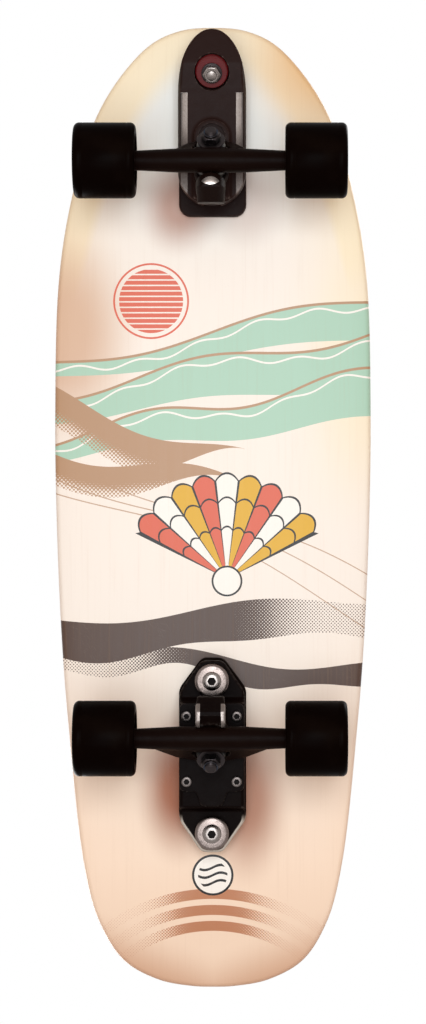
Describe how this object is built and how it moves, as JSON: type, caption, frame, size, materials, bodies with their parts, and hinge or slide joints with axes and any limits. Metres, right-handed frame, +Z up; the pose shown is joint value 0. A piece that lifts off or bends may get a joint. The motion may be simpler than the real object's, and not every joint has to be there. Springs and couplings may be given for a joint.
{
  "type": "surf skateboard",
  "caption": "Complete surf skateboard on its wheels: wide deck with a kicktail, swinging front truck adapter and tilting rear truck adapter.",
  "frame": {"origin": "on the ground under the middle of the board, wheels standing on z = 0", "axes": "+Y towards the nose, +Z up, +X towards the rider's right when facing the nose"},
  "size_m": [0.267, 0.814, 0.163],
  "materials": {
    "maple": "satin clear coat over maple plies",
    "grip": "coarse abrasive grip",
    "wheel_urethane": "satin cast urethane",
    "red_urethane": "satin cast urethane",
    "black_urethane": "satin cast urethane",
    "cup_plastic": "moulded",
    "casting": "satin black powder coat on cast aluminium",
    "hanger": "satin black powder coat on cast aluminium",
    "steel": "zinc plated"
  },
  "bodies": {
    "board": {"deck": "maple", "grip_tape": "grip", "front_base_plate": "casting", "front_swing_bolt": "steel", "front_swing_nut": "steel", "front_swing_washer": "steel", "front_swing_upper_bushing": "red_urethane", "front_swing_lower_bushing": "red_urethane", "rear_base_plate": "casting", "rear_tilt_bolt_nose": "steel", "rear_tilt_bolt_tail": "steel", "rear_tilt_washer_nose": "steel", "rear_tilt_washer_tail": "steel", "rear_tilt_upper_bushing_nose": "red_urethane", "rear_tilt_upper_bushing_tail": "red_urethane", "rear_tilt_lower_bushing_nose": "red_urethane", "rear_tilt_lower_bushing_tail": "red_urethane", "front_deck_screw_1": "steel", "front_deck_screw_2": "steel", "front_deck_screw_3": "steel", "front_deck_screw_4": "steel", "rear_deck_screw_1": "steel", "rear_deck_screw_2": "steel", "rear_deck_screw_3": "steel", "rear_deck_screw_4": "steel"},
    "front_arm": {"front_swing_arm": "casting", "front_kingpin": "steel", "front_kingpin_nut": "steel", "front_kingpin_washer": "steel", "front_barrel_bushing": "black_urethane", "front_cone_bushing": "black_urethane", "front_pivot_cup": "cup_plastic"},
    "front_truck": {"front_hanger": "hanger", "front_axle": "steel", "front_left_axle_nut": "steel", "front_right_axle_nut": "steel"},
    "rear_tilter": {"rear_tilt_plate": "casting", "rear_truck_base": "casting", "rear_truck_screw_1": "steel", "rear_truck_screw_2": "steel", "rear_truck_screw_3": "steel", "rear_truck_screw_4": "steel", "rear_kingpin": "steel", "rear_kingpin_nut": "steel", "rear_kingpin_washer": "steel", "rear_barrel_bushing": "black_urethane", "rear_cone_bushing": "black_urethane", "rear_pivot_cup": "cup_plastic"},
    "rear_truck": {"rear_hanger": "hanger", "rear_axle": "steel", "rear_left_axle_nut": "steel", "rear_right_axle_nut": "steel"},
    "front_left_roller": {"front_left_wheel": "wheel_urethane", "front_left_bearings": "steel"},
    "front_right_roller": {"front_right_wheel": "wheel_urethane", "front_right_bearings": "steel"},
    "rear_left_roller": {"rear_left_wheel": "wheel_urethane", "rear_left_bearings": "steel"},
    "rear_right_roller": {"rear_right_wheel": "wheel_urethane", "rear_right_bearings": "steel"}
  },
  "joints": [
    {"name": "front_arm_swing", "type": "hinge", "parent": "board", "child": "front_arm", "pos_m": [0, 0.368, 0.096], "axis": [0, 0.4226, 0.9063], "range_deg": [-20, 20], "stiffness_Nm_per_rad": 45},
    {"name": "front_truck_lean", "type": "hinge", "parent": "front_arm", "child": "front_truck", "pos_m": [0, 0.29, 0.0565], "axis": [0, 0.766, 0.6428], "range_deg": [-18, 18], "stiffness_Nm_per_rad": 60, "deforming": ["front_barrel_bushing", "front_cone_bushing"]},
    {"name": "rear_plate_tilt", "type": "hinge", "parent": "board", "child": "rear_tilter", "pos_m": [0, -0.2047, 0.1016], "axis": [0, 1, 0], "range_deg": [-10, 10], "stiffness_Nm_per_rad": 90, "deforming": ["rear_tilt_upper_bushing_nose", "rear_tilt_upper_bushing_tail", "rear_tilt_lower_bushing_nose", "rear_tilt_lower_bushing_tail"]},
    {"name": "rear_truck_lean", "type": "hinge", "parent": "rear_tilter", "child": "rear_truck", "pos_m": [0, -0.1927, 0.0565], "axis": [0, -0.766, 0.6428], "range_deg": [-18, 18], "stiffness_Nm_per_rad": 60, "deforming": ["rear_barrel_bushing", "rear_cone_bushing"]},
    {"name": "front_left_wheel_spin", "type": "hinge", "parent": "front_truck", "child": "front_left_roller", "pos_m": [-0.0854, 0.282, 0.0305], "axis": [1, 0, 0], "continuous": true},
    {"name": "front_right_wheel_spin", "type": "hinge", "parent": "front_truck", "child": "front_right_roller", "pos_m": [0.0854, 0.282, 0.0305], "axis": [1, 0, 0], "continuous": true},
    {"name": "rear_left_wheel_spin", "type": "hinge", "parent": "rear_truck", "child": "rear_left_roller", "pos_m": [-0.0854, -0.1847, 0.0305], "axis": [1, 0, 0], "continuous": true},
    {"name": "rear_right_wheel_spin", "type": "hinge", "parent": "rear_truck", "child": "rear_right_roller", "pos_m": [0.0854, -0.1847, 0.0305], "axis": [1, 0, 0], "continuous": true}
  ]
}
